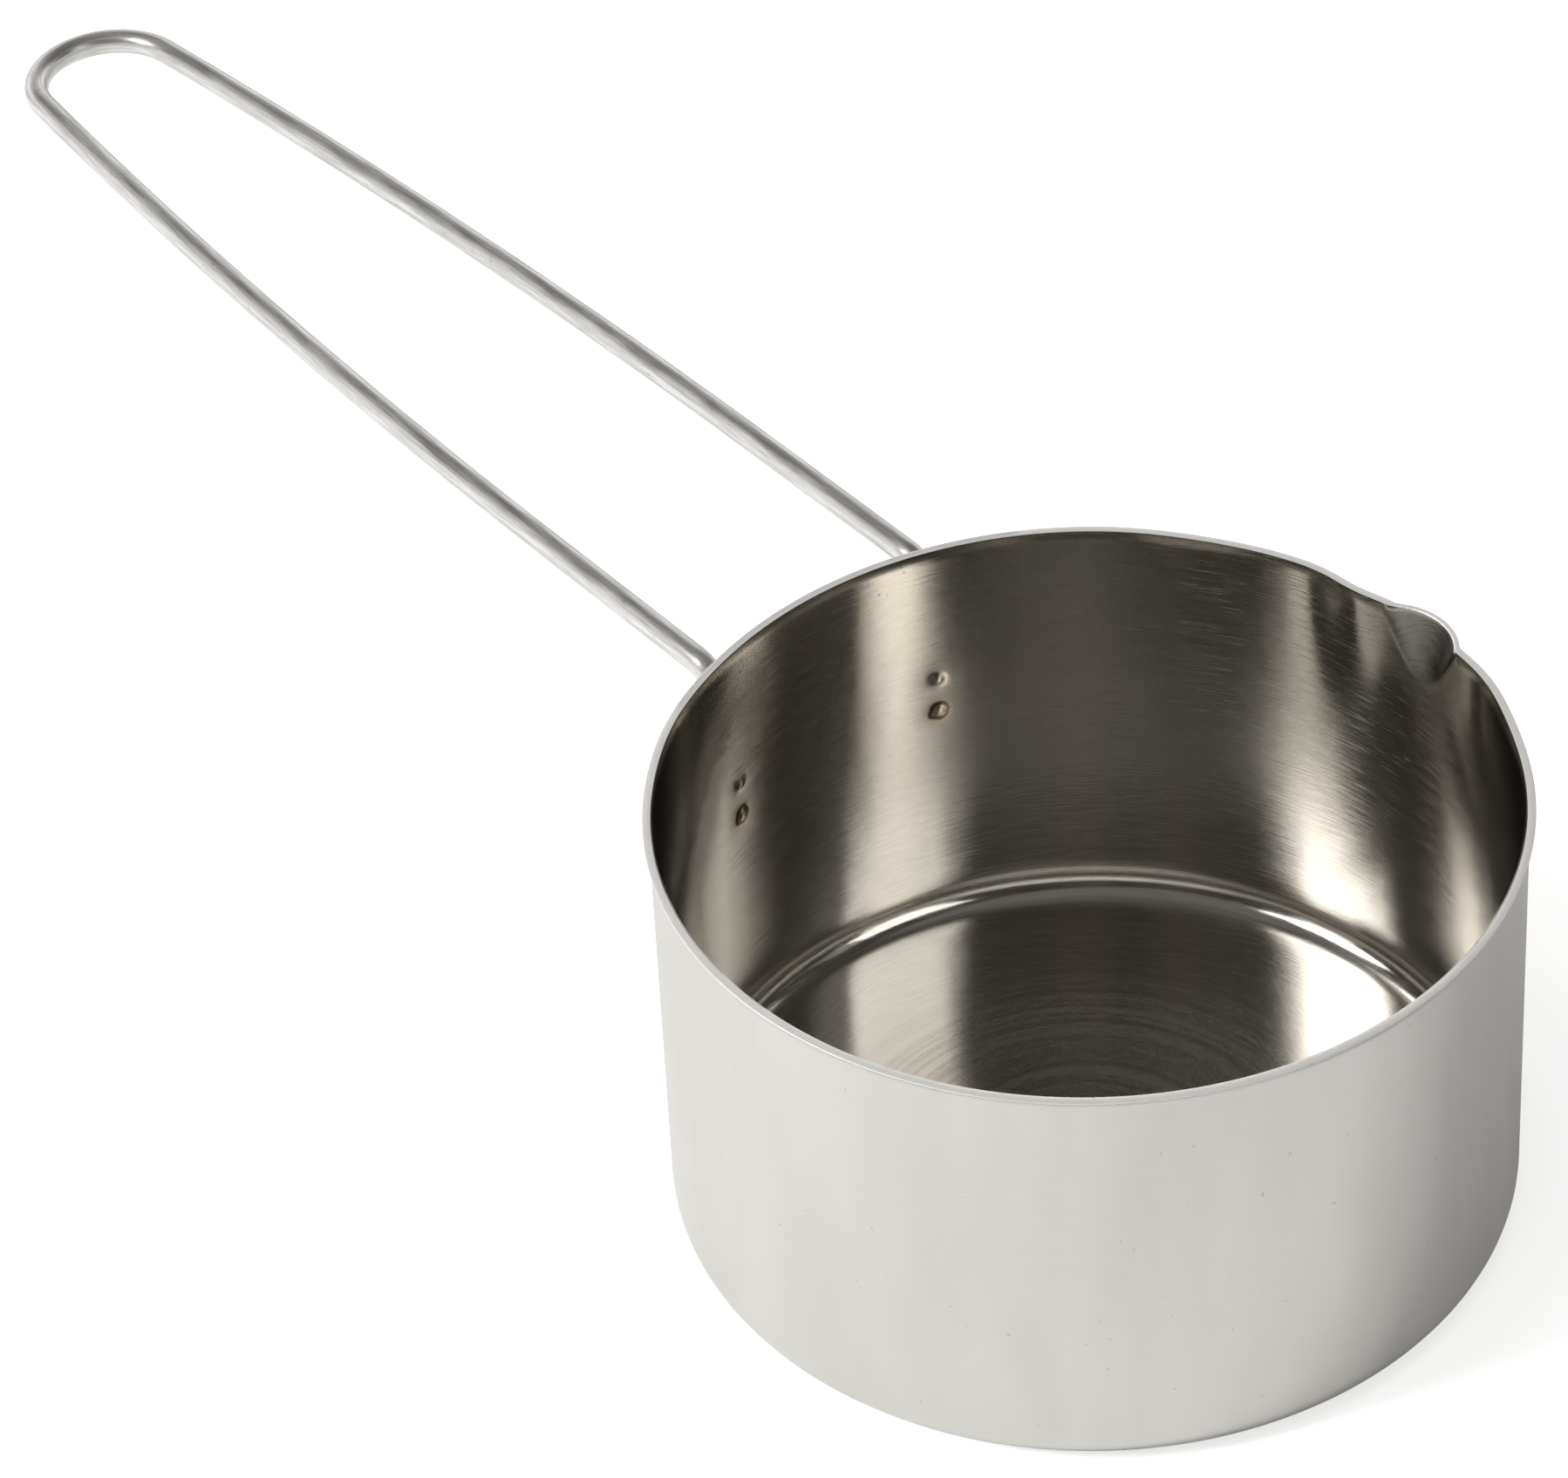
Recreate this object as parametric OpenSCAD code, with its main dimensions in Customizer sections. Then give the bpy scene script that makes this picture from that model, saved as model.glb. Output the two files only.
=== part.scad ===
// Candle melting pot: a deep-drawn steel cup with a pour lip and a welded wire handle.
// The origin is the centre of the flat base, +Z is up, the handle runs along +X and the
// pour lip faces -Y. All sizes are in millimetres.

/* [Pot] */
// Outer diameter of the straight wall
body_d = 108.4; // [80:0.2:160]
// Height from the base to the rim
body_h = 61; // [45:1:120]
// Thickness of the drawn sheet
sheet = 0.7; // [0.5:0.1:1.5]
// Outer radius of the rounded corner between the wall and the base
corner_r = 4.5; // [3:0.5:12]
// How far the rim flares out beyond the wall
flare_out = 0.8; // [0.5:0.1:2]
// Height of the flared band under the rim
flare_h = 2.6; // [1.5:0.1:5]

/* [Pour lip] */
// How far the tip of the lip stands out beyond the wall, measured at the rim
lip_out = 2.7; // [2.5:0.1:6]
// Depth below the rim at which the lip runs out into the wall
lip_depth = 9; // [6:0.5:15]
// Radius inside the lip's round nose at the rim
lip_nose_r = 10; // [6:0.5:14]

/* [Handle] */
// Diameter of the handle wire
wire_d = 3.5; // [2.5:0.1:5]
// Distance between the centre lines of the two legs
leg_spacing = 34; // [26:1:44]
// Distance from the pot's axis to the far end of the handle
handle_reach = 233; // [190:1:300]
// Centre-line radius of the round loop at the far end
loop_r = 10.5; // [7:0.5:14]
// Depth of the handle's centre line below the rim where it leaves the pot
handle_drop = 4.3; // [3:0.1:10]
// Upward tilt of the handle, negative when it slopes down and away from the pot
handle_tilt = -1; // [-4:0.5:12]
// Centre-line radius of the bend from the wall to the handle
bend_r = 4; // [3:0.5:9]
// Height of the wire's cut ends above the base
wire_end_z = 29; // [22:1:32]

/* [Welds] */
// Depth of the upper weld below the rim
upper_weld_drop = 21; // [18:0.5:23]
// Distance between the two welds on one leg
weld_pitch = 5.3; // [4:0.1:6]
// Diameter of a weld
weld_d = 3; // [2:0.1:3]

/* [Hidden] */
$fn = 96;
// Facets of the thin wire, of its bends, and of the large circles that fit closely
wire_fn = 24;
bend_fn = 72;
large_fn = 720;

// Extra length that carries a cut clear of the faces it goes through
cut = 1;

body_r = body_d / 2;
inner_r = body_r - sheet;

// The lip is an upright cone with its point down, and only what is outside the wall shows
lip_slope = lip_out / lip_depth;
// The sheet is this thick in the cone, measured level
lip_sheet = sheet * sqrt(1 + lip_slope * lip_slope);
lip_center = body_r + lip_out - lip_sheet - lip_nose_r;
lip_apex_depth = lip_nose_r / lip_slope;

wire_r = wire_d / 2;
// Each stretch of wire stops this far short of a joint, and a short sleeve of wire, thicker
// by the swell, covers the joint
joint_gap = 0.05;
joint_l = 0.4;
joint_swell = 0.02;
leg_y = leg_spacing / 2;
// The weld metal keeps the wire this far off the wall
weld_gap = 0.2;
weld_r = weld_d / 2;
lower_weld_drop = upper_weld_drop + weld_pitch;
// How far the weld metal climbs round the wire, measured from the wall
weld_climb = 0.6;
weld_h = weld_gap + weld_climb * wire_r;
// A weld's print is a low cap of this height, cut from a ball of this radius
print_h = 0.2;
print_r = 1.8;
wall_to_wire = body_r + weld_gap + wire_r;
leg_x = sqrt(wall_to_wire * wall_to_wire - leg_y * leg_y);
leg_angle = asin(leg_y / wall_to_wire);

// The handle's plane passes through this point and is tilted by handle_tilt
bend_turn = 90 - handle_tilt;
handle_z = body_h - handle_drop;
bend_x = leg_x + bend_r;
bend_z = handle_z - bend_r;
// Where the bend ends and the handle's plane begins
shoulder_x = bend_x - bend_r * cos(bend_turn);
shoulder_z = bend_z + bend_r * sin(bend_turn);

// Along the handle, each leg is straight, then a long shallow arc, then half of the end loop
reach = (handle_reach - wire_r - shoulder_x) / cos(handle_tilt);
loop_x = reach - loop_r;
straight_share = 0.18;
straight_l = straight_share * reach;
bow_x = loop_x - straight_l;
// Radius of the shallow arc that is tangent to the straight leg and to the loop
bow_r = (bow_x * bow_x + leg_y * leg_y - loop_r * loop_r) / (2 * (leg_y - loop_r));
bow_turn = atan2(bow_x, bow_r - leg_y);

// Half of the cup's section: straight wall, rounded corner and flat base
module cup_half(radius, base_z, corner) {
    translate([0, base_z]) square([radius - corner, body_h - base_z]);
    translate([0, base_z + corner]) square([radius, body_h - base_z - corner]);
    translate([radius - corner, base_z + corner]) circle(corner);
}

// The flared band that widens the cup just under the rim
module flare_half(radius) {
    polygon([
        [0, body_h - flare_h],
        [radius, body_h - flare_h],
        [radius + flare_out, body_h],
        [0, body_h]
    ]);
}

// Half of the hollow's section, which runs on past the rim so that the mouth is cut clean
module hollow_half() {
    cup_half(inner_r, sheet, corner_r - sheet);
    flare_half(inner_r);
    translate([0, body_h]) square([inner_r + flare_out, cut]);
}

// Upright cone of the pour lip, pointing down, widened by a given amount
module lip_cone(widen) {
    top_r = lip_nose_r + widen;
    translate([0, -lip_center, body_h - lip_apex_depth])
        cylinder(h = lip_apex_depth, r1 = widen, r2 = top_r);
}

// The cup's sheet, with its flared rim and pour lip
module cup_sheet() {
    difference() {
        union() {
            rotate_extrude() {
                cup_half(body_r, 0, corner_r);
                flare_half(body_r);
            }
            lip_cone(lip_sheet);
        }
        rotate_extrude() hollow_half();
        lip_cone(0);
        translate([0, -lip_center, body_h]) cylinder(h = cut, r = lip_nose_r);
    }
}

// The shallow print that one weld leaves on the inside of the wall
module weld_print(side, drop) {
    intersection() {
        translate([0, 0, body_h - drop])
            rotate([0, 0, side * leg_angle])
            translate([inner_r - print_h + print_r, 0, 0])
            sphere(print_r);
        cylinder(h = body_h, r = body_r);
    }
}

// Drawn cup with the prints of its four welds
module pot_body() {
    color("gainsboro") {
        cup_sheet();
        for (side = [-1, 1])
            for (drop = [upper_weld_drop, lower_weld_drop])
                weld_print(side, drop);
    }
}

// A straight length of wire that runs up from the origin, short of its end by the joint gap
module wire_rod(length) {
    cylinder(h = length - joint_gap, r = wire_r, $fn = wire_fn);
}

// An arc of wire in the XY plane, from the +X axis round by a given angle, short at each end
module wire_arc(radius, turn, facets) {
    gap_turn = joint_gap / radius * 180 / PI;
    rotate([0, 0, gap_turn])
        rotate_extrude(angle = turn - 2 * gap_turn, $fn = facets)
        translate([radius, 0])
        circle(wire_r, $fn = wire_fn);
}

// The short sleeve that joins two stretches of wire, with its middle at the origin
module wire_joint() {
    translate([0, 0, -joint_l / 2])
        cylinder(h = joint_l, r = wire_r + joint_swell, $fn = wire_fn);
}

// The same sleeve, lying in the XY plane and turned from the +X axis
module flat_joint(x, y, turn) {
    translate([x, y, 0]) rotate([0, 0, turn]) rotate([0, 90, 0]) wire_joint();
}

// The leg that lies against the wall, from its cut end up to the bend
module wall_leg() {
    translate([leg_x, leg_y, wire_end_z]) wire_rod(bend_z - wire_end_z);
    translate([leg_x, leg_y, bend_z]) wire_joint();
}

// The bend that turns the leg away from the wall
module shoulder_bend() {
    translate([bend_x, leg_y, bend_z])
        rotate([90, 0, 0])
        rotate([0, 0, 180 - bend_turn])
        wire_arc(bend_r, bend_turn, bend_fn);
}

// One side of the hairpin, drawn flat with its start at the shoulder
module hairpin_side() {
    flat_joint(0, leg_y, 0);
    translate([joint_gap, leg_y, 0]) rotate([0, 90, 0]) wire_rod(straight_l - joint_gap);
    flat_joint(straight_l, leg_y, 0);
    translate([straight_l, leg_y - bow_r, 0])
        rotate([0, 0, 90 - bow_turn])
        wire_arc(bow_r, bow_turn, large_fn);
    flat_joint(loop_x + loop_r * sin(bow_turn), loop_r * cos(bow_turn), -bow_turn);
}

// The round loop at the far end, which joins the two sides
module end_loop() {
    loop_turn = 180 - 2 * bow_turn;
    translate([loop_x, 0, 0]) rotate([0, 0, -loop_turn / 2]) wire_arc(loop_r, loop_turn, bend_fn);
}

// The whole bent wire
module wire_handle() {
    color("silver") {
        for (side = [0, 1])
            mirror([0, side, 0]) {
                wall_leg();
                shoulder_bend();
            }
        translate([shoulder_x, 0, shoulder_z])
            rotate([0, -handle_tilt, 0]) {
                hairpin_side();
                mirror([0, 1, 0]) hairpin_side();
                end_loop();
            }
    }
}

// Fused metal that fills the wedge between the wall and one leg of the wire
module weld(side, drop) {
    color("darkgray")
    difference() {
        translate([0, 0, body_h - drop])
            rotate([0, 0, side * leg_angle])
            rotate([0, 90, 0])
            cylinder(h = body_r + weld_h, r = weld_r);
        cylinder(h = body_h, r = body_r, $fn = large_fn);
        translate([leg_x, side * leg_y, 0]) cylinder(h = body_h, r = wire_r);
    }
}

pot_body();
wire_handle();
weld(-1, upper_weld_drop);  // weld_left_upper
weld(-1, lower_weld_drop);  // weld_left_lower
weld(1, upper_weld_drop);  // weld_right_upper
weld(1, lower_weld_drop);  // weld_right_lower
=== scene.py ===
# %% [markdown]
# # A candle melting pot
#
# This lesson builds the looks of a small steel pot for melting candle wax. The real one is two
# pieces of metal: a cup pressed out of one sheet, and one length of wire bent into a handle. Four
# spot welds join them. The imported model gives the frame, so the first step loads it and keeps
# its box, which the finished looks must stay inside.

# %% Load the frame
import math
import bpy
from mathutils import Matrix, Vector


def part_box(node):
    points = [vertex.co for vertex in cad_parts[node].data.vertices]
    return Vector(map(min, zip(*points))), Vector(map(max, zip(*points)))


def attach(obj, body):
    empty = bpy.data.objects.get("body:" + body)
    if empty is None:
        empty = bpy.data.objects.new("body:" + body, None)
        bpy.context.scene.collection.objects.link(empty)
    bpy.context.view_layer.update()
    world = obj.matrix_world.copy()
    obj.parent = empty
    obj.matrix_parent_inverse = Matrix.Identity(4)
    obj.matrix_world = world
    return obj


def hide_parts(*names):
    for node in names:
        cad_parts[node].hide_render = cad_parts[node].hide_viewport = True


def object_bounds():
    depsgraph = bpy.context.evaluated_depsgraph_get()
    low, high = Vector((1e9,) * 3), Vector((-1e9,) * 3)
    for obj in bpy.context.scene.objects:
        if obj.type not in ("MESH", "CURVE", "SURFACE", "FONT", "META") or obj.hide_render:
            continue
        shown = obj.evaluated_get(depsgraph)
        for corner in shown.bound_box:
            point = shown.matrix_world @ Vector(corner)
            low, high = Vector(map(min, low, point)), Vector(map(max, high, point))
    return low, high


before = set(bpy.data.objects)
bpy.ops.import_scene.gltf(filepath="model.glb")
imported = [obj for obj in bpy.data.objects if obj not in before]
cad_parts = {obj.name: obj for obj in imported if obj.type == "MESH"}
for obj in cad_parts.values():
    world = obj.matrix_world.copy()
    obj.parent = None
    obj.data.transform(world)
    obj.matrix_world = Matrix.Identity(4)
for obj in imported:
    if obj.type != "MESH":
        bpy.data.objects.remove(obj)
cad_low, cad_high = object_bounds()
MM = 0.001
print("CAD box in mm:", [round(side / MM, 1) for side in cad_high - cad_low])

# %% [markdown]
# ## Driving sizes
#
# Sizes come from the frame where it can give them. A box tells how high the rim stands, how far
# the lip reaches and where the wire ends. What a box can't tell, such as the sheet's thickness
# or the radius of a bend, is named here once, in millimetres times MM.

# %% Sizes of the cup and the wire
cup_low, cup_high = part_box("pot_body")
wire_low, wire_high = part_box("wire_handle")

rim_z = cup_high.z
rim_r = cup_high.y
flare_out = 0.8 * MM
flare_h = 1.4 * MM
flare_power = 1.6
wall_r = rim_r - flare_out
sheet = 0.7 * MM
corner_r = 4.5 * MM
lip_tip_r = -cup_low.y
lip_depth = 9.0 * MM
lip_nose_r = 9.0 * MM

wire_r = 1.75 * MM
leg_x = wire_low.x + wire_r
leg_y = wire_high.y - wire_r
wire_end_z = wire_low.z
handle_z = wire_high.z - wire_r
handle_tilt = math.radians(-1.0)
bend_r = 4.0 * MM
loop_r = 10.5 * MM
straight_share = 0.18

weld_names = ["weld_left_upper", "weld_left_lower", "weld_right_upper", "weld_right_lower"]
weld_centres = {name: sum(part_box(name), Vector()) / 2 for name in weld_names}
print("rim radius", round(rim_r / MM, 2), "rim height", round(rim_z / MM, 2))
for name, centre in weld_centres.items():
    print(name, [round(value / MM, 1) for value in centre])

# %% [markdown]
# ## Helpers for modelling by operator
#
# An operator acts on whatever is selected. After the load, the frame's own nodes are selected,
# so each new piece starts by clearing the selection. The other helpers go in and out of edit
# mode and apply a modifier, which keeps the steps below short.

# %% Small modelling helpers
def clear_selection():
    for other in bpy.context.selected_objects:
        other.select_set(False)
    bpy.context.view_layer.objects.active = None


def enter_edit():
    bpy.ops.object.mode_set(mode="EDIT")


def leave_edit():
    bpy.ops.object.mode_set(mode="OBJECT")


def name_active(name):
    piece = bpy.context.active_object
    piece.name = name
    piece.data.name = name
    return piece


def extrude_by(x, y, z):
    bpy.ops.mesh.extrude_region_move(TRANSFORM_OT_translate={"value": (x, y, z)})


def apply_modifier(piece, kind, name, **values):
    modifier = piece.modifiers.new(name, kind)
    for key, value in values.items():
        setattr(modifier, key, value)
    bpy.ops.object.modifier_apply(modifier=modifier.name)


def report(piece):
    mesh = piece.data
    triangles = sum(len(face.vertices) - 2 for face in mesh.polygons)
    print(piece.name, "vertices", len(mesh.vertices), "triangles", triangles)


# %% [markdown]
# ## The drawn cup: its section
#
# The cup is pressed from one flat disc, so it is a turned shape with a thin, even wall. A lathe
# profile is the natural start. It is drawn from the middle of the base outwards: one vertex,
# extruded step by step along the base, spun a quarter turn for the rounded corner, and extruded
# again up the wall. The steps are short where the lip and the welds will need fine detail, and
# long where the wall stays plain.

# %% Draw the section of the cup
base_r = wall_r - corner_r
corner_steps = 10
weld_low = min(centre.z for centre in weld_centres.values()) - 2.6 * MM
weld_high = max(centre.z for centre in weld_centres.values()) + 2.6 * MM
lip_low = rim_z - lip_depth - 1.5 * MM
start_azimuth = math.radians(-30)


def extrude_rings(length, step, rising):
    """Extrudes the last vertex along the section in equal steps no longer than step."""
    count = max(1, math.ceil(length / step))
    for _ in range(count):
        if rising:
            extrude_by(0, 0, length / count)
        else:
            extrude_by(length / count, 0, 0)


clear_selection()
bpy.ops.mesh.primitive_plane_add(size=2 * MM, location=(0, 0, 0))
cup = name_active("drawn_cup")
enter_edit()
bpy.ops.mesh.select_all(action="SELECT")
bpy.ops.mesh.merge(type="CENTER")
extrude_rings(base_r, 3.5 * MM, False)
bpy.ops.mesh.spin(
    steps=corner_steps,
    angle=math.radians(90),
    center=(base_r, 0, corner_r),
    axis=(0, 1, 0),
)
extrude_rings(weld_low - corner_r, 2.0 * MM, True)
extrude_rings(weld_high - weld_low, 0.34 * MM, True)
extrude_rings(lip_low - weld_high, 1.6 * MM, True)
extrude_rings(rim_z - lip_low, 0.5 * MM, True)
leave_edit()
section_top = max(vertex.co.z for vertex in cup.data.vertices)
print("the section has", len(cup.data.vertices), "points, top", round(section_top / MM, 2))

# %% [markdown]
# ## The drawn cup: one turn
#
# The section is swept once round the pot's axis. The sweep goes in sectors: fine steps past the
# welds and past the lip, wide steps elsewhere, so that the mesh is dense only where it is
# pressed out of round. Each spin leaves its last section selected, and the next goes on from it.

# %% Spin the section in sectors
weld_sector = (60, 0.34)
plain_right = (230, 1.6)
lip_sector = (36, 0.5)
plain_left = (34, 1.6)

enter_edit()
bpy.ops.mesh.select_all(action="SELECT")
bpy.ops.transform.rotate(
    value=-start_azimuth,
    orient_axis="Z",
    center_override=(0, 0, 0),
)
for sector, step in (weld_sector, plain_right, lip_sector, plain_left):
    bpy.ops.mesh.spin(
        steps=round(sector / step),
        angle=math.radians(-sector),
        center=(0, 0, 0),
        axis=(0, 0, 1),
    )
bpy.ops.mesh.select_all(action="SELECT")
bpy.ops.mesh.remove_doubles(threshold=0.01 * MM)
bpy.ops.mesh.normals_make_consistent(inside=False)
leave_edit()
print("the four sectors turn through", sum(s[0] for s in (weld_sector, plain_right, lip_sector, plain_left)))
report(cup)

# %% [markdown]
# ## The drawn cup: flare, lip and weld prints
#
# Now the turned shape is pushed out of round, as the press and the welder do it. The rim flares
# by 0.8 mm. The lip is a cone pressed out through the wall: seen from above, the wall becomes a
# round nose, and a soft maximum blends the two instead of leaving a knife edge. The pinch also
# pulls the rim in a little on one side of the lip and lets it spring out on the other.
# Each weld pushes a low bump into the inside. A short function gives the new radius of every
# vertex, which no brush or proportional edit could place so exactly.

# %% Press the sheet
lip_azimuth = math.radians(-91.6)
lip_slope = (lip_tip_r - wall_r) / lip_depth
lip_centre_r = lip_tip_r - lip_nose_r
lip_blend = 0.2 * MM
# Each bend of the rim: its azimuth and width in degrees, how far it goes out, how deep it fades
rim_bends = [
    (-79, 5.0, -0.80 * MM, 15 * MM),
    (-105, 7.5, 0.55 * MM, 10 * MM),
    (-55, 10, -0.30 * MM, 25 * MM),
    (33, 9, 0.25 * MM, 20 * MM),
]
print_h = 0.16 * MM
print_r = 0.8 * MM
wide_dent_h = 0.05 * MM
wide_dent_r = 2.6 * MM


def soft_max(a, b, blend):
    """The larger of a and b, rounded over where they are closer than blend."""
    near = max(blend - abs(a - b), 0) / blend
    return max(a, b) + near * near * blend / 4


def bell(offset, width):
    return math.exp(-(offset / width) ** 2)


def flared_radius(z, share):
    rise = max(z - (rim_z - flare_h), 0) / flare_h
    return wall_r + share * flare_out * rise ** flare_power


def lip_radius(azimuth, z):
    """Where a ray from the axis leaves the lip's cone, or 0 where it misses it."""
    nose = lip_nose_r - lip_slope * (rim_z - z)
    off_axis = lip_centre_r * math.sin(azimuth - lip_azimuth)
    if nose <= abs(off_axis) or math.cos(azimuth - lip_azimuth) < 0:
        return 0
    return lip_centre_r * math.cos(azimuth - lip_azimuth) + math.sqrt(nose ** 2 - off_axis ** 2)


def pressed_radius(azimuth, z, flare_share=1):
    wall = flared_radius(z, flare_share)
    for centre, width, amount, depth in rim_bends:
        wall += amount * bell(rim_z - z, depth) * bell(math.degrees(azimuth) - centre, width)
    radius = soft_max(wall, lip_radius(azimuth, z), lip_blend)
    for centre in weld_centres.values():
        across = wall_r * (azimuth - math.atan2(centre.y, centre.x))
        distance = math.hypot(across, z - centre.z)
        radius -= print_h * bell(distance, print_r) + wide_dent_h * bell(distance, wide_dent_r)
    return radius


for vertex in cup.data.vertices:
    if vertex.co.z > corner_r + 0.1 * MM:
        azimuth = math.atan2(vertex.co.y, vertex.co.x)
        radius = pressed_radius(azimuth, vertex.co.z)
        vertex.co.x = radius * math.cos(azimuth)
        vertex.co.y = radius * math.sin(azimuth)
print("lip reaches", round(-min(v.co.y for v in cup.data.vertices) / MM, 2))

# %% [markdown]
# ## The drawn cup: thickness and rim
#
# The surface made so far is the outside. Solidify gives it the sheet's thickness, inwards, and
# puts the inside and the rim's edge on materials of their own, because the real pot is satin
# outside, brushed inside and freshly cut at the rim. The cut edge is then made level. The inside
# keeps only a share of the flare, because hardly any flare shows there, so the rim comes out
# wider than the sheet. A small bevel takes the sharpness off the edge.

# %% Give the sheet its thickness
clear_selection()
cup.select_set(True)
bpy.context.view_layer.objects.active = cup
for name in ("satin_outside", "brushed_inside", "cut_rim"):
    cup.data.materials.append(bpy.data.materials.new(name))
apply_modifier(
    cup,
    "SOLIDIFY",
    "sheet thickness",
    thickness=sheet,
    offset=-1,
    use_even_offset=True,
    material_offset=1,
    material_offset_rim=2,
)

# %% Level the cut edge and round it
inner_flare_share = 0.5
rim_round = 0.2 * MM
rim_faces = [face for face in cup.data.polygons if face.material_index == 2]
rim_points = {index for face in rim_faces for index in face.vertices}
for index in rim_points:
    cup.data.vertices[index].co.z = rim_z
inner_faces = [face for face in cup.data.polygons if face.material_index == 1]
for index in {index for face in inner_faces for index in face.vertices}:
    point = cup.data.vertices[index].co
    if point.z > rim_z - 1.5 * flare_h:
        azimuth = math.atan2(point.y, point.x)
        less_flared = pressed_radius(azimuth, point.z, inner_flare_share)
        excess = pressed_radius(azimuth, point.z) - less_flared
        flat_r = math.hypot(point.x, point.y)
        point.xy *= (flat_r - excess) / flat_r
for edge in cup.data.edges:
    edge.select = False
rim_edge_keys = {key for face in rim_faces for key in face.edge_keys}
wall_faces = [face for face in cup.data.polygons if face.material_index != 2]
rim_edge_keys &= {key for face in wall_faces for key in face.edge_keys}
for vertex in cup.data.vertices:
    vertex.select = False
for face in cup.data.polygons:
    face.select = False
for edge in cup.data.edges:
    edge.select = edge.key in rim_edge_keys
enter_edit()
bpy.ops.mesh.select_mode(type="EDGE")
bpy.ops.mesh.bevel(offset=rim_round, segments=3, affect="EDGES", material=2)
leave_edit()
bpy.ops.object.shade_smooth_by_angle(angle=math.radians(50))
report(cup)

# %% [markdown]
# ## The wire handle
#
# The real handle starts as a straight piece of drawn wire, so the model does too. A disc is
# extruded into a straight rod in many short steps, and each ring of the rod is then carried to
# its place on the bent path. The path is arcs and straight lines that meet without a corner:
# up the wall, round the shoulder, along the handle, in along a very shallow bow, and round the
# end loop. Bending a straight rod also leaves every vertex knowing how far along the wire it is,
# and the draw marks in the metal need that.

# %% The path that the wire is bent to
bend_turn = math.radians(90) - handle_tilt
shoulder = Vector((leg_x + bend_r - bend_r * math.cos(bend_turn), leg_y, 0))
shoulder.z = handle_z - bend_r + bend_r * math.sin(bend_turn)
reach = (wire_high.x - wire_r - shoulder.x) / math.cos(handle_tilt)
loop_x = reach - loop_r
straight_l = straight_share * reach
bow_x = loop_x - straight_l
bow_r = (bow_x ** 2 + leg_y ** 2 - loop_r ** 2) / (2 * (leg_y - loop_r))
bow_turn = math.atan2(bow_x, bow_r - leg_y)

leg_l = handle_z - bend_r - wire_end_z
bend_l = bend_r * bend_turn
bow_l = bow_r * bow_turn
loop_half_l = loop_r * (math.radians(90) - bow_turn)
half_l = leg_l + bend_l + straight_l + bow_l + loop_half_l
print("wire length in mm", round(2 * half_l / MM, 1), "bow radius", round(bow_r / MM))


def in_handle_plane(along, across):
    """A point of the handle's tilted plane, from its distance past the shoulder and its y."""
    x = shoulder.x + along * math.cos(handle_tilt)
    z = shoulder.z + along * math.sin(handle_tilt)
    return Vector((x, across, z))


def half_path(s):
    """The point and direction on the right half of the wire, s metres from its cut end."""
    if s <= leg_l:
        return Vector((leg_x, leg_y, wire_end_z + s)), Vector((0, 0, 1))
    s -= leg_l
    if s <= bend_l:
        turn = s / bend_r
        centre = Vector((leg_x + bend_r, leg_y, handle_z - bend_r))
        point = centre + bend_r * Vector((-math.cos(turn), 0, math.sin(turn)))
        return point, Vector((math.sin(turn), 0, math.cos(turn)))
    s -= bend_l
    if s <= straight_l:
        return in_handle_plane(s, leg_y), in_handle_plane(1, 0) - in_handle_plane(0, 0)
    s -= straight_l
    if s <= bow_l:
        turn = s / bow_r
        along = straight_l + bow_r * math.sin(turn)
        across = leg_y - bow_r * (1 - math.cos(turn))
    else:
        turn = bow_turn + (s - bow_l) / loop_r
        along = loop_x + loop_r * math.sin(turn)
        across = loop_r * math.cos(turn)
    forward = in_handle_plane(math.cos(turn), -math.sin(turn)) - in_handle_plane(0, 0)
    return in_handle_plane(along, across), forward


def wire_path(s):
    """The point and direction anywhere on the whole wire."""
    if s <= half_l:
        return half_path(s)
    point, forward = half_path(2 * half_l - s)
    return Vector((point.x, -point.y, point.z)), Vector((-forward.x, forward.y, -forward.z))


# %% Extrude the straight rod
wire_sides = 32
step_near = 0.8 * MM
step_far = 6.0 * MM


def ring_places():
    """Distances along the wire at which a ring is wanted: close together in the tight bends."""
    bends = [
        (leg_l - MM, leg_l + bend_l + MM),
        (half_l - loop_half_l - 2 * MM, half_l + loop_half_l + 2 * MM),
        (2 * half_l - leg_l - bend_l - MM, 2 * half_l - leg_l + MM),
    ]
    places = [0.0]
    while places[-1] < 2 * half_l - 0.01 * MM:
        here = places[-1]
        tight = any(start <= here <= end for start, end in bends)
        upcoming = [start - here for start, end in bends if start > here]
        step = step_near if tight else min([step_far, *[gap + 0.01 * MM for gap in upcoming]])
        places.append(min(here + step, 2 * half_l))
    return places


places = ring_places()
clear_selection()
bpy.ops.mesh.primitive_circle_add(vertices=wire_sides, radius=wire_r, fill_type="NGON")
wire = name_active("bent_wire")
enter_edit()
bpy.ops.mesh.select_all(action="SELECT")
for here, there in zip(places, places[1:]):
    extrude_by(0, 0, there - here)
bpy.ops.mesh.select_all(action="SELECT")
bpy.ops.mesh.select_mode(type="EDGE")
bpy.ops.mesh.select_all(action="DESELECT")
bpy.ops.mesh.select_non_manifold(extend=False)
bpy.ops.mesh.edge_face_add()
bpy.ops.mesh.select_all(action="SELECT")
bpy.ops.mesh.normals_make_consistent(inside=False)
leave_edit()
report(wire)

# %% [markdown]
# The cut ends of the wire are sheared and then tumbled, which leaves a small round edge. Both end
# faces are found by their normals, and a small bevel rounds the edge of each.

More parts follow.
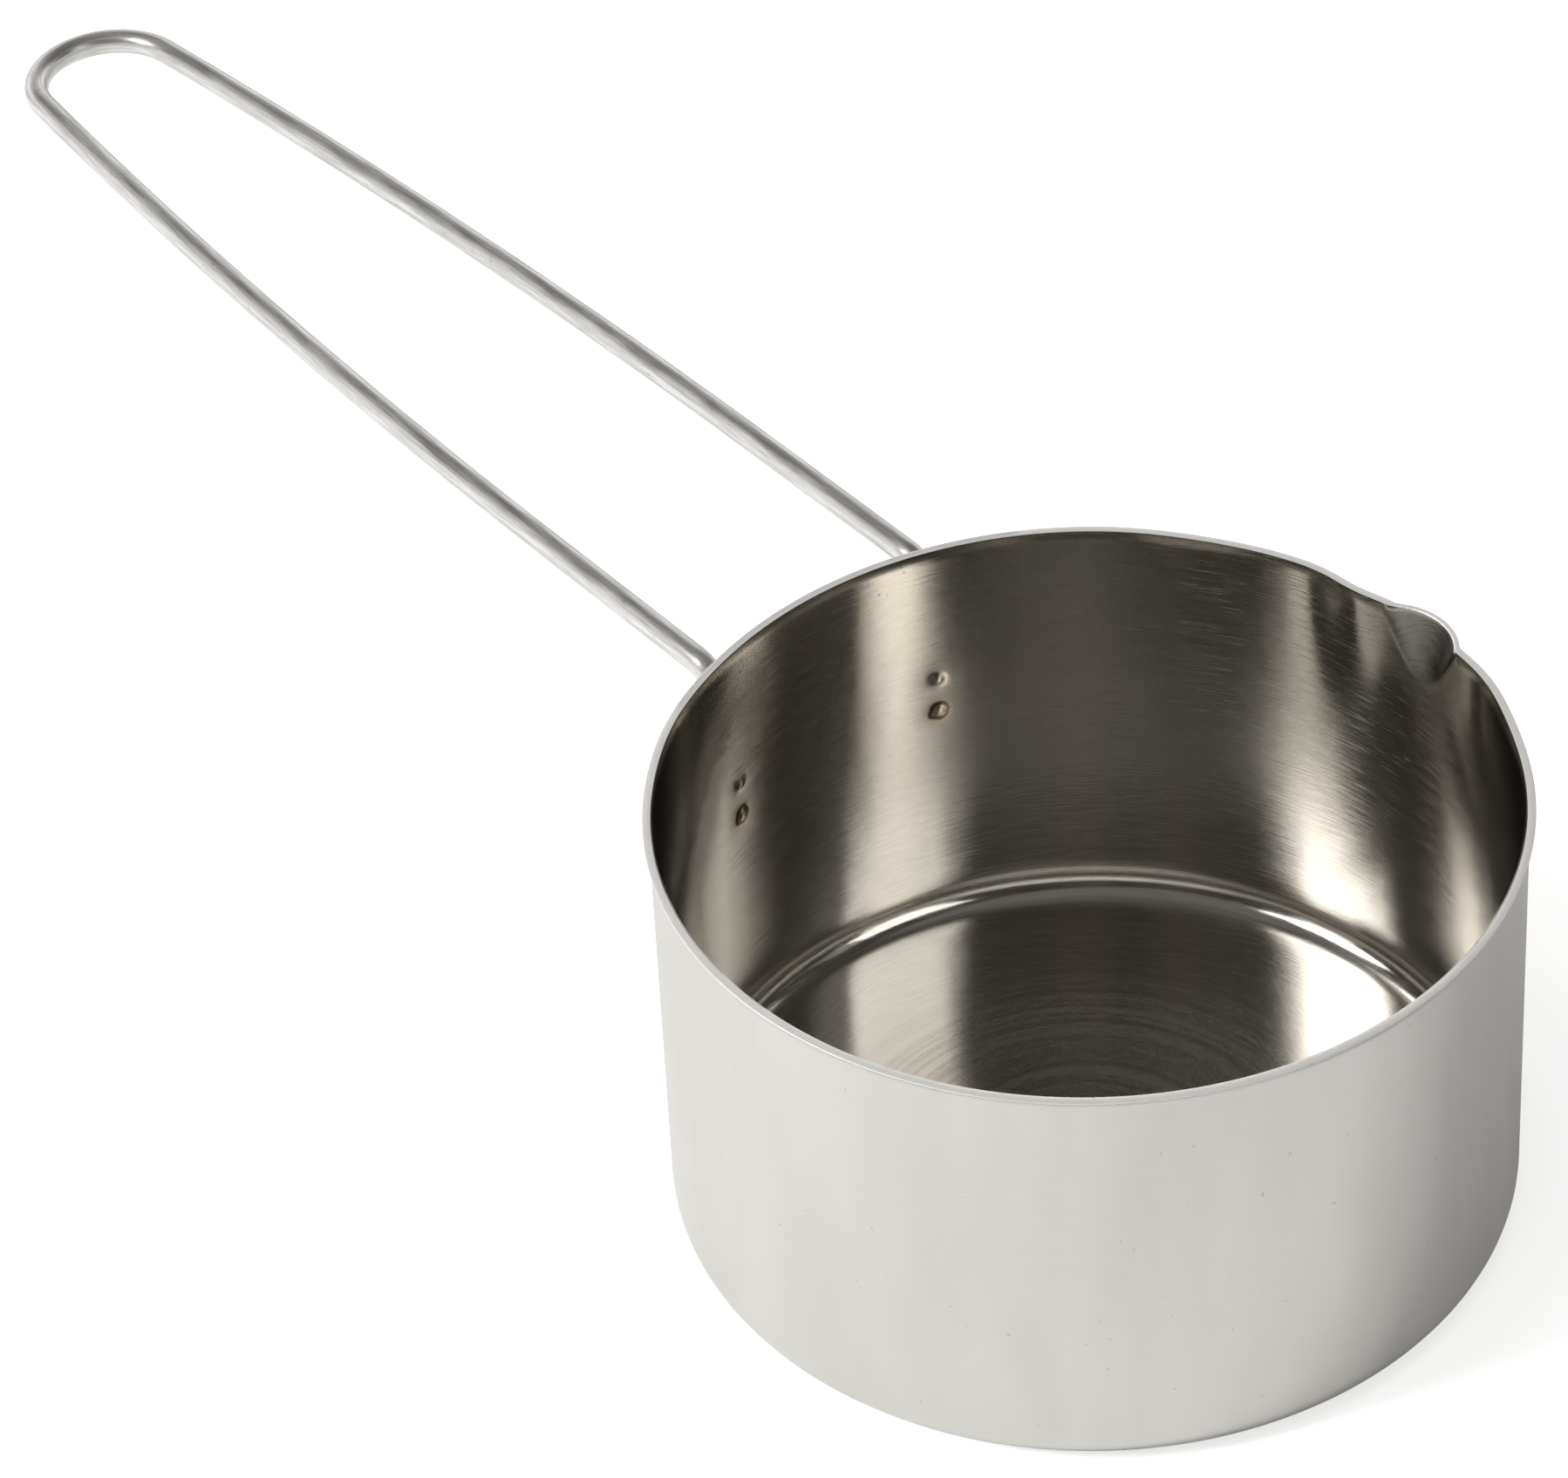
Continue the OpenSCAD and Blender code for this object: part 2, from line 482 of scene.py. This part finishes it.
# %% Round the two cut ends
end_round = 0.35 * MM
for face in wire.data.polygons:
    face.select = abs(face.normal.z) > 0.9 and len(face.vertices) == wire_sides
for edge in wire.data.edges:
    edge.select = False
ends = [face for face in wire.data.polygons if face.select]
end_edges = {key for face in ends for key in face.edge_keys}
for edge in wire.data.edges:
    edge.select = edge.key in end_edges
enter_edit()
bpy.ops.mesh.select_mode(type="EDGE")
bpy.ops.mesh.bevel(offset=end_round, segments=3, affect="EDGES")
leave_edit()
print("cut ends found:", len(ends))

# %% Keep the straight coordinates, then bend the rod
straight = wire.data.attributes.new("straight_wire", "FLOAT_VECTOR", "POINT")
for vertex, kept in zip(wire.data.vertices, straight.data):
    kept.vector = vertex.co / MM
for vertex in wire.data.vertices:
    s = min(max(vertex.co.z, 0), 2 * half_l)
    point, forward = wire_path(s)
    side = Vector((0, 1, 0))
    if s > leg_l + bend_l and s < 2 * half_l - leg_l - bend_l:
        plane_up = Vector((-math.sin(handle_tilt), 0, math.cos(handle_tilt)))
        side = plane_up.cross(forward)
    elif s >= 2 * half_l - leg_l - bend_l:
        side = Vector((0, -1, 0))
    up = forward.cross(side)
    vertex.co = point + side * vertex.co.x + up * vertex.co.y
bpy.ops.object.shade_smooth_by_angle(angle=math.radians(60))
report(wire)

# %% [markdown]
# ## Helpers for materials
#
# Each finish is a small network of nodes. The helpers add a node with its settings and links in
# one call, so a material reads from top to bottom in the order that the pattern is built.

# %% Node helpers
def add(tree, kind, inputs=None, **settings):
    node = tree.nodes.new(kind)
    for key, value in settings.items():
        setattr(node, key, value)
    for key, value in (inputs or {}).items():
        if isinstance(value, bpy.types.NodeSocket):
            tree.links.new(value, node.inputs[key])
        else:
            node.inputs[key].default_value = value
    return node


def maths(tree, operation, a, b=0.0, clamp=False):
    return add(tree, "ShaderNodeMath", {0: a, 1: b}, operation=operation, use_clamp=clamp).outputs[0]


def vector_maths(tree, operation, a, b=(0, 0, 0)):
    return add(tree, "ShaderNodeVectorMath", {0: a, 1: b}, operation=operation).outputs[0]


def plus(tree, a, b):
    return maths(tree, "ADD", a, b)


def times(tree, a, b):
    return maths(tree, "MULTIPLY", a, b)


def per_mm(tree, position, x, y, z):
    """Scales a position so that each axis counts this many units to the millimetre."""
    return vector_maths(tree, "MULTIPLY", position, (x / MM, y / MM, z / MM))


def mm_from(tree, position, point):
    """The distance in millimetres from a fixed point."""
    away = add(tree, "ShaderNodeVectorMath", {0: position, 1: point}, operation="DISTANCE")
    return maths(tree, "DIVIDE", away.outputs["Value"], MM)


def ramp(tree, value, low, high, to_low=0.0, to_high=1.0):
    """Remaps value from low..high to to_low..to_high, smoothly, and holds it at the ends."""
    settings = {"Value": value, "From Min": low, "From Max": high, "To Min": to_low, "To Max": to_high}
    return add(tree, "ShaderNodeMapRange", settings, interpolation_type="SMOOTHSTEP").outputs[0]


def noise(tree, vector, scale, detail=2.0, roughness=0.5):
    settings = {"Vector": vector, "Scale": scale, "Detail": detail, "Roughness": roughness}
    return add(tree, "ShaderNodeTexNoise", settings).outputs["Fac"]


def mix_colour(tree, factor, a, b, blend="MIX"):
    node = add(tree, "ShaderNodeMix", {0: factor, 6: a, 7: b}, data_type="RGBA", blend_type=blend)
    return node.outputs[2]


def new_group(name, inputs, outputs):
    """A shader node group with float, vector or colour sockets."""
    group = bpy.data.node_groups.new(name, "ShaderNodeTree")
    for socket_name, kind, value in inputs:
        socket = group.interface.new_socket(socket_name, in_out="INPUT", socket_type="NodeSocket" + kind)
        if value is not None:
            socket.default_value = value
    for socket_name, kind in outputs:
        group.interface.new_socket(socket_name, in_out="OUTPUT", socket_type="NodeSocket" + kind)
    entry = group.nodes.new("NodeGroupInput")
    leave = group.nodes.new("NodeGroupOutput")
    return group, entry.outputs, leave.inputs


def use_group(tree, group, inputs):
    node = tree.nodes.new("ShaderNodeGroup")
    node.node_tree = group
    for key, value in inputs.items():
        if isinstance(value, bpy.types.NodeSocket):
            tree.links.new(value, node.inputs[key])
        else:
            node.inputs[key].default_value = value
    return node.outputs


def start_material(name):
    material = bpy.data.materials.get(name) or bpy.data.materials.new(name)
    material.use_nodes = True
    tree = material.node_tree
    tree.nodes.clear()
    shader = tree.nodes.new("ShaderNodeBsdfPrincipled")
    output = tree.nodes.new("ShaderNodeOutputMaterial")
    tree.links.new(shader.outputs[0], output.inputs["Surface"])
    position = tree.nodes.new("ShaderNodeTexCoord").outputs["Object"]
    return material, tree, shader, position


def finish_material(tree, shader, tone, rough, height, strength, distance, metallic):
    """Links the three patterns to the shader and sets how metallic it is."""
    tree.links.new(tone, shader.inputs["Base Color"])
    tree.links.new(rough, shader.inputs["Roughness"])
    bump = add(tree, "ShaderNodeBump", {"Height": height, "Strength": strength, "Distance": distance})
    tree.links.new(bump.outputs[0], shader.inputs["Normal"])
    shader.inputs["Metallic"].default_value = metallic
    print("finish with", len(tree.nodes), "nodes, metallic", metallic)


def set_brushing(shader, anisotropic):
    """Draws reflections out across the turned marks."""
    shader.inputs["Anisotropic"].default_value = anisotropic
    shader.inputs["Anisotropic Rotation"].default_value = 0.25


# %% [markdown]
# ## Turned grain
#
# The pot is polished while it turns, so every mark on it runs round its axis: level lines on
# the wall, rings on the base. One coordinate serves both. Height minus radius changes up the
# wall and across the base, and keeps still along every mark. Round the axis, the direction
# itself is used instead of an angle, because an angle has a seam. The group turns a point into
# that space and makes three noises there: a fine grain, longer scratches and broad tool rings.
# It also hands on the coordinate itself, in millimetres.

# %% The turned grain group
grain_group, given, made = new_group(
    "turned_grain",
    [
        ("Position", "Vector", None),
        ("Grain per mm", "Float", 4.0),
        ("Length share", "Float", 2.0),
        ("Slant", "Float", 0.0),
    ],
    [("Grain", "Float"), ("Scratches", "Float"), ("Rings", "Float"), ("Section", "Float")],
)
tree = grain_group
in_mm = per_mm(tree, given["Position"], 1, 1, 1)
parts = add(tree, "ShaderNodeSeparateXYZ", {0: in_mm}).outputs
flat = add(tree, "ShaderNodeCombineXYZ", {0: parts[0], 1: parts[1]}).outputs[0]
radius = add(tree, "ShaderNodeVectorMath", {0: flat}, operation="LENGTH").outputs["Value"]
direction = vector_maths(tree, "NORMALIZE", flat)
section = maths(tree, "SUBTRACT", parts[2], radius)
direction_parts = add(tree, "ShaderNodeSeparateXYZ", {0: direction}).outputs
lean = times(tree, direction_parts[1], given["Slant"])
leaning_section = plus(tree, section, lean)


def turned_space(along, across):
    """Stretches the turned coordinates: along the marks and across them."""
    x = times(tree, direction_parts[0], along)
    y = times(tree, direction_parts[1], along)
    z = times(tree, leaning_section, across)
    return add(tree, "ShaderNodeCombineXYZ", {0: x, 1: y, 2: z}).outputs[0]


fine = noise(tree, turned_space(given["Length share"], given["Grain per mm"]), 1.0, 3.0, 0.7)
long_marks = noise(tree, turned_space(given["Length share"], 9.0), 1.0, 2.0, 0.6)
tool_rings = noise(tree, turned_space(0.08, 0.5), 1.0, 2.0, 0.6)
tree.links.new(fine, made["Grain"])
tree.links.new(ramp(tree, long_marks, 0.52, 0.72), made["Scratches"])
tree.links.new(ramp(tree, tool_rings, 0.30, 0.72), made["Rings"])
tree.links.new(section, made["Section"])
print("group", grain_group.name, "has", len(grain_group.nodes), "nodes")

# %% [markdown]
# ## Heat rings
#
# A spot weld heats the sheet for a moment. The steel oxidises round it in a narrow brown ring
# that fades out through straw yellow. The group gives a mask of the ring and one of the wider
# halo, from the distance to one weld. It is placed once for each weld, in every metal near it.

# %% The heat ring group
ring_group, given, made = new_group(
    "heat_ring",
    [
        ("Position", "Vector", None),
        ("Centre", "Vector", (0, 0, 0)),
        ("Ring radius mm", "Float", 1.2),
        ("Ring width mm", "Float", 0.3),
    ],
    [("Ring", "Float"), ("Halo", "Float")],
)
tree = ring_group
offset = vector_maths(tree, "SUBTRACT", given["Position"], given["Centre"])
offset_mm = per_mm(tree, offset, 1, 1, 1)
wobble = noise(tree, offset_mm, 0.9, 1.0, 0.5)
distance = add(tree, "ShaderNodeVectorMath", {0: offset_mm}, operation="LENGTH").outputs["Value"]
uneven = plus(tree, distance, times(tree, maths(tree, "SUBTRACT", wobble, 0.5), 0.7))
from_ring = maths(tree, "ABSOLUTE", maths(tree, "SUBTRACT", uneven, given["Ring radius mm"]))
ring_share = maths(tree, "DIVIDE", from_ring, given["Ring width mm"])
tree.links.new(ramp(tree, ring_share, 0.3, 1.5, 1.0, 0.0), made["Ring"])
tree.links.new(ramp(tree, uneven, 1.2, 3.6, 1.0, 0.0), made["Halo"])
print("group", ring_group.name, "has", len(ring_group.nodes), "nodes")


def heat_masks(tree, position, radial, ring_radius):
    """The strongest ring and halo of the four welds, on a surface at the given radius."""
    rings = 0.0
    halos = 0.0
    for name, centre in weld_centres.items():
        flat_length = math.hypot(centre.x, centre.y)
        placed = (centre.x * radial / flat_length, centre.y * radial / flat_length, centre.z)
        lower = name.endswith("lower")
        size = ring_radius if lower else 0.6 * ring_radius
        strength = 1.0 if lower else 0.35
        masks = use_group(
            tree,
            ring_group,
            {"Position": position, "Centre": placed, "Ring radius mm": size, "Ring width mm": 0.3},
        )
        rings = maths(tree, "MAXIMUM", times(tree, masks["Ring"], strength), rings)
        halos = maths(tree, "MAXIMUM", times(tree, masks["Halo"], strength), halos)
    return rings, halos


# %% [markdown]
# ## The three finishes of the cup
#
# Outside, the steel has an even satin that shows almost no lines. Inside, coarser brushing is
# left, with scratches where the wall was wiped beside the lip and broad tool rings on the floor.
# The anisotropic setting spreads reflections across the marks, which draws them out into the
# upright bands that brushed pots show. Bump gives the lines real relief, and roughness varies
# with the same grain.

# %% Satin outside
bright_steel = (0.74, 0.73, 0.71, 1)
straw = (0.55, 0.44, 0.28, 1)
scorch = (0.10, 0.07, 0.045, 1)

outside, tree, shader, position = start_material("satin_outside")
grain = use_group(tree, grain_group, {"Position": position, "Grain per mm": 7.0, "Length share": 5.0})
rings, halos = heat_masks(tree, position, wall_r, 2.2)
mottle = noise(tree, per_mm(tree, position, 0.09, 0.09, 0.025), 1.0, 2.0, 0.5)
pits = noise(tree, per_mm(tree, position, 1, 1, 1), 0.9, 1.0, 0.5)
even = plus(tree, times(tree, grain["Grain"], 0.4), times(tree, mottle, 0.6))
tone = mix_colour(tree, ramp(tree, even, 0.35, 0.65), (0.625, 0.618, 0.590, 1), (0.665, 0.661, 0.640, 1))
pit_mask = times(tree, ramp(tree, pits, 0.775, 0.80), 0.4)
tone = mix_colour(tree, pit_mask, tone, (0.35, 0.33, 0.30, 1))
tone = mix_colour(tree, times(tree, halos, 0.7), tone, straw)
tone = mix_colour(tree, times(tree, rings, 0.8), tone, scorch)
rough = ramp(tree, grain["Grain"], 0.25, 0.75, 0.30, 0.38)
height = plus(tree, grain["Grain"], times(tree, grain["Scratches"], 0.3))
finish_material(tree, shader, tone, rough, height, 0.6, 0.003 * MM, 1.0)
set_brushing(shader, 0.4)

# %% [markdown]
# The inside needs to know where a point lies. Four masks tell it: near the rim, on the floor, at
# the lip, and in the wiped patch of wall beside the lip, where the long scratches are.

# %% Brushed inside: where each mark belongs
wiped_azimuth = math.radians(-68)
wiped_depth = 14 * MM
inside, tree, shader, position = start_material("brushed_inside")
grain = use_group(
    tree,
    grain_group,
    {"Position": position, "Grain per mm": 5.0, "Length share": 9.0, "Slant": 1.5},
)
rings, halos = heat_masks(tree, position, wall_r - sheet, 1.25)
height_mm = maths(tree, "DIVIDE", add(tree, "ShaderNodeSeparateXYZ", {0: position}).outputs[2], MM)
from_axis = maths(tree, "SUBTRACT", height_mm, grain["Section"])
near_rim = ramp(tree, height_mm, 50.0, 58.0)
near_axis = ramp(tree, from_axis, 26.0, 44.0, 1.0, 0.0)
on_floor = times(tree, near_axis, ramp(tree, height_mm, 1.0, 3.0, 1.0, 0.0))
lip_tip = (0, -lip_tip_r, rim_z - 0.4 * lip_depth)
at_lip = ramp(tree, mm_from(tree, position, lip_tip), 6.0, 12.0, 1.0, 0.0)
wiped = (wall_r * math.cos(wiped_azimuth), wall_r * math.sin(wiped_azimuth), rim_z - wiped_depth)
in_wiped = ramp(tree, mm_from(tree, position, wiped), 10.0, 38.0, 1.0, 0.15)
scuffs = times(tree, grain["Scratches"], in_wiped)
rings_cut = times(tree, grain["Rings"], on_floor)
print("wiped patch centred at", [round(value / MM, 1) for value in wiped])

# %% Brushed inside: colour, roughness and relief
specks = noise(tree, per_mm(tree, position, 1, 1, 1), 1.7, 1.0, 0.5)
speck_mask = times(tree, ramp(tree, specks, 0.73, 0.76), near_rim)
tone = mix_colour(tree, ramp(tree, grain["Grain"], 0.3, 0.7), (0.62, 0.60, 0.565, 1), (0.69, 0.67, 0.635, 1))
tone = mix_colour(tree, times(tree, grain["Scratches"], 0.5), tone, bright_steel)
tone = mix_colour(tree, times(tree, halos, 0.45), tone, straw)
tone = mix_colour(tree, times(tree, rings, 0.9), tone, scorch)
tone = mix_colour(tree, times(tree, speck_mask, 0.8), tone, scorch)
# Painted shade: the hollow of the lip is painted a darker, warmer grey.
tone = mix_colour(tree, times(tree, at_lip, 0.6), tone, (0.44, 0.415, 0.37, 1))
rough = ramp(tree, grain["Grain"], 0.25, 0.75, 0.09, 0.16)
for mask, amount in ((scuffs, 0.2), (rings_cut, 0.14), (on_floor, 0.07), (at_lip, 0.16)):
    rough = plus(tree, rough, times(tree, mask, amount))
ripple = noise(tree, per_mm(tree, position, 1, 1, 0.3), 0.13, 1.0, 0.5)
height = plus(tree, grain["Grain"], times(tree, scuffs, 0.3))
for mask, amount in ((at_lip, 0.97), (on_floor, 0.6)):
    height = times(tree, height, maths(tree, "SUBTRACT", 1.0, times(tree, mask, amount)))
height = plus(tree, height, times(tree, rings_cut, 2.0))
height = plus(tree, height, times(tree, ripple, 3.5))
finish_material(tree, shader, tone, rough, height, 1.0, 0.014 * MM, 1.0)
set_brushing(shader, 0.5)

# %% [markdown]
# The rim is a raw cut, too finely torn to mirror anything. Only half of it is set as metal, so the
# other half scatters light like a pale powder and the edge reads as a thin light line.

# %% Cut rim
rim, tree, shader, position = start_material("cut_rim")
grain = use_group(tree, grain_group, {"Position": position, "Grain per mm": 9.0, "Length share": 40.0})
tone = mix_colour(tree, grain["Grain"], (0.66, 0.65, 0.63, 1), (0.80, 0.79, 0.77, 1))
rough = ramp(tree, grain["Grain"], 0.3, 0.7, 0.35, 0.50)
finish_material(tree, shader, tone, rough, grain["Grain"], 0.2, 0.03 * MM, 0.5)

# %% [markdown]
# ## Drawn wire
#
# Wire is pulled through a die, so its marks run along its length. The straight coordinates kept
# before the bending give exactly that direction, even round the loop. Noise squeezed along them
# makes the draw lines, and a slower noise makes the cloudy patches that tumbling leaves. A tenth
# of it is set as scattering instead of metal, for the dull film that tumbling leaves too.

# %% The wire's finish
drawn, tree, shader, position = start_material("drawn_wire")
kept = add(tree, "ShaderNodeAttribute", attribute_name="straight_wire").outputs["Vector"]
draw_lines = noise(tree, vector_maths(tree, "MULTIPLY", kept, (2.6, 2.6, 0.12)), 1.0, 3.0, 0.65)
patches = noise(tree, vector_maths(tree, "MULTIPLY", kept, (0.5, 0.5, 0.12)), 1.0, 2.0, 0.5)
nicks = noise(tree, vector_maths(tree, "MULTIPLY", kept, (1.6, 1.6, 0.9)), 1.0, 2.0, 0.5)
rings, halos = heat_masks(tree, position, wall_r + 1.2 * MM, 1.6)
line_mask = ramp(tree, draw_lines, 0.3, 0.7)
tone = mix_colour(tree, line_mask, (0.50, 0.495, 0.48, 1), (0.76, 0.755, 0.74, 1))
nick_mask = times(tree, ramp(tree, nicks, 0.66, 0.74), 0.5)
tone = mix_colour(tree, nick_mask, tone, (0.35, 0.34, 0.32, 1))
tone = mix_colour(tree, times(tree, halos, 0.7), tone, straw)
tone = mix_colour(tree, times(tree, rings, 0.8), tone, scorch)
rough = ramp(tree, patches, 0.3, 0.7, 0.28, 0.42)
finish_material(tree, shader, tone, rough, draw_lines, 0.7, 0.06 * MM, 0.9)
wire.data.materials.append(drawn)

# %% [markdown]
# ## Weld metal
#
# The welds themselves stay as the frame's own nodes, because their shape is exact: each fills the
# wedge between the wall and the wire. Fused metal is dull and lumpy, stained from brown to a
# bluish grey, so a coarse bump and a blotchy colour ramp are enough.

# %% The welds' finish
fused, tree, shader, position = start_material("fused_metal")
weld_mm = per_mm(tree, position, 1, 1, 1)
lumps = noise(tree, weld_mm, 1.4, 3.0, 0.6)
stain = noise(tree, weld_mm, 0.7, 2.0, 0.5)
tone = mix_colour(tree, ramp(tree, stain, 0.35, 0.65), (0.20, 0.14, 0.09, 1), (0.42, 0.41, 0.43, 1))
rough = ramp(tree, lumps, 0.3, 0.7, 0.35, 0.6)
finish_material(tree, shader, tone, rough, lumps, 0.6, 0.15 * MM, 1.0)
for name in weld_names:
    for material_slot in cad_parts[name].material_slots:
        material_slot.material = fused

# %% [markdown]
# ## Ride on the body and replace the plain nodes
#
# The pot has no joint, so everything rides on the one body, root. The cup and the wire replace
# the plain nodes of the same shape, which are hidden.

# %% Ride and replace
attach(cup, "root")
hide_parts("pot_body")
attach(wire, "root")
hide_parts("wire_handle")

# %% [markdown]
# ## The studio
#
# Steel shows its surroundings more than itself, so the room is part of the look. The floor is
# plain and nearly white, and runs up behind the pot as a white sweep. Above it the room is dim,
# which keeps the inside of the pot dark. Three soft lights stand at the height that the wall
# mirrors: a strong one beside the handle, a card on the far side of the pot from the handle, and
# a weak one next to the card. They draw the bright bands inside the cup. Two more lights, the
# key and the top, light the floor and whatever scatters, and are hidden from mirrors. The floor
# also glows a little for the camera alone, which keeps the pot's shadow faint. It lies a hair
# below the base, so that the two faces don't share a plane.

# %% Floor
floor_half = 20.0
floor_gap = 0.05 * MM
floor_glow = 0.6
clear_selection()
bpy.ops.mesh.primitive_plane_add(size=2 * floor_half, location=(0, 0, cad_low.z - floor_gap))
floor = name_active("studio_floor")
paper, tree, shader, position = start_material("white_paper")
fibres = noise(tree, position, 900.0, 3.0, 0.6)
paper_tone = mix_colour(tree, fibres, (0.80, 0.80, 0.795, 1), (0.82, 0.82, 0.815, 1))
tree.links.new(paper_tone, shader.inputs["Base Color"])
shader.inputs["Roughness"].default_value = 0.9
shader.inputs["Specular IOR Level"].default_value = 0.1
seen = tree.nodes.new("ShaderNodeLightPath").outputs["Is Camera Ray"]
shader.inputs["Emission Color"].default_value = (1, 1, 1, 1)
tree.links.new(times(tree, seen, floor_glow), shader.inputs["Emission Strength"])
floor.data.materials.append(paper)
print("floor", 2 * floor_half, "m across, glow", floor_glow)

# %% World
overhead_azimuth = 65.0
overhead_elevation = 80.0
overhead_half_width = 30.0
overhead_fade = 5.0
overhead_strength = 0.10
horizon_strength = 1.1
sweep_azimuth = -35.5
dark_cloth = (0.052, 0.049, 0.041, 1)
warm_wood = (0.078, 0.066, 0.057, 1)


def toward(azimuth, elevation):
    """The unit vector that points at an azimuth and elevation given in degrees."""
    a = math.radians(azimuth)
    e = math.radians(elevation)
    return Vector((math.cos(a) * math.cos(e), math.sin(a) * math.cos(e), math.sin(e)))


world = bpy.data.worlds.new("studio")
bpy.context.scene.world = world
world.use_nodes = True
tree = world.node_tree
tree.nodes.clear()
ray = tree.nodes.new("ShaderNodeTexCoord").outputs["Generated"]
upward = add(tree, "ShaderNodeSeparateXYZ", {0: ray}).outputs[2]
closeness = add(
    tree,
    "ShaderNodeVectorMath",
    {0: ray, 1: toward(overhead_azimuth, overhead_elevation)},
    operation="DOT_PRODUCT",
).outputs["Value"]
edge = math.cos(math.radians(overhead_half_width))
soft_edge = math.cos(math.radians(overhead_half_width + overhead_fade))
overhead = ramp(tree, closeness, soft_edge, edge, 0.0, overhead_strength)
facing = add(
    tree,
    "ShaderNodeVectorMath",
    {0: ray, 1: toward(sweep_azimuth, 0)},
    operation="DOT_PRODUCT",
).outputs["Value"]
sweep_rise = times(tree, maths(tree, "MAXIMUM", facing, 0), 0.3)
above_sweep = maths(tree, "SUBTRACT", upward, sweep_rise)
horizon = ramp(tree, above_sweep, 0.12, 0.37, horizon_strength, 0.0)
light = plus(tree, overhead, horizon)
glow = add(tree, "ShaderNodeCombineXYZ", {0: light, 1: light, 2: light}).outputs[0]
around = vector_maths(tree, "MULTIPLY", ray, (1, 1, 0))
wood_share = ramp(tree, noise(tree, around, 4.0, 2.0, 0.6), 0.38, 0.62)
dim_room = mix_colour(tree, wood_share, dark_cloth, warm_wood)
room = vector_maths(tree, "ADD", glow, dim_room)
background = add(tree, "ShaderNodeBackground", {"Color": room, "Strength": 1.0})
world_output = tree.nodes.new("ShaderNodeOutputWorld")
tree.links.new(background.outputs[0], world_output.inputs["Surface"])
print("world with", len(tree.nodes), "nodes, horizon", horizon_strength, "overhead", overhead_strength)

# %% Soft lights
def soft_light(name, azimuth, elevation, distance, width, height, radiance, tint):
    """An area light that faces the pot and shows the given radiance in mirrors."""
    data = bpy.data.lights.new(name, "AREA")
    data.shape = "RECTANGLE"
    data.size = width
    data.size_y = height
    data.energy = radiance * math.pi * width * height
    data.color = tint
    lamp = bpy.data.objects.new(name, data)
    bpy.context.scene.collection.objects.link(lamp)
    away = toward(azimuth, elevation)
    aim = Vector((0, 0, rim_z / 2))
    lamp.location = aim + away * distance
    lamp.rotation_euler = away.to_track_quat("Z", "Y").to_euler()
    lamp.visible_camera = False
    print(name, "energy", round(data.energy, 2))
    return lamp


warm_white = (1.0, 0.99, 0.965)
soft_light("handle_side_light", 63.5, 42, 1.3, 0.54, 0.62, 4.0, warm_white)
soft_light("far_card", 197.5, 40, 1.3, 0.55, 0.56, 1.6, warm_white)
soft_light("weak_card", 218, 40, 1.3, 0.34, 0.56, 0.16, warm_white)
key_light = soft_light("key_light", 67, 35, 0.8, 0.36, 0.36, 16.0, (1, 1, 1))
top_light = soft_light("top_light", 90, 78, 2.6, 1.50, 1.50, 2.4, (1, 1, 1))
for lamp in (key_light, top_light):
    lamp.visible_glossy = False

# %% [markdown]
# ## The camera
#
# The camera looks down at the pot from the side away from the handle, through a long lens, and is
# rolled by a few degrees. It aims at the height of the rim, at a point between the middle of the
# mouth and the handle. The view transform is plain, so that white paper comes out white.

# %% Place the camera
camera_azimuth = 144.5
camera_elevation = 39.64
camera_roll = -3.17
camera_distance = 869.4 * MM
camera_aim = Vector((33.7 * MM, 21.2 * MM, rim_z))
lens_mm = 160.2

camera_data = bpy.data.cameras.new("camera")
camera = bpy.data.objects.new("camera", camera_data)
bpy.context.scene.collection.objects.link(camera)
camera_data.lens = lens_mm
camera_data.sensor_width = 36.0
camera_data.clip_start = 0.05
camera_data.clip_end = 100.0
back = toward(camera_azimuth, camera_elevation)
camera.location = camera_aim + back * camera_distance
level = back.to_track_quat("Z", "Y").to_matrix()
roll = Matrix.Rotation(math.radians(camera_roll), 3, "Z")
camera.rotation_euler = (level @ roll).to_euler()
bpy.context.scene.camera = camera
bpy.context.scene.view_settings.view_transform = "Standard"
print("camera at", [round(value, 3) for value in camera.location])

# %% [markdown]
# ## Finish
#
# The looks must not outgrow the frame. The last step brings the scene up to date.

# %% Bring the scene up to date
bpy.context.view_layer.update()
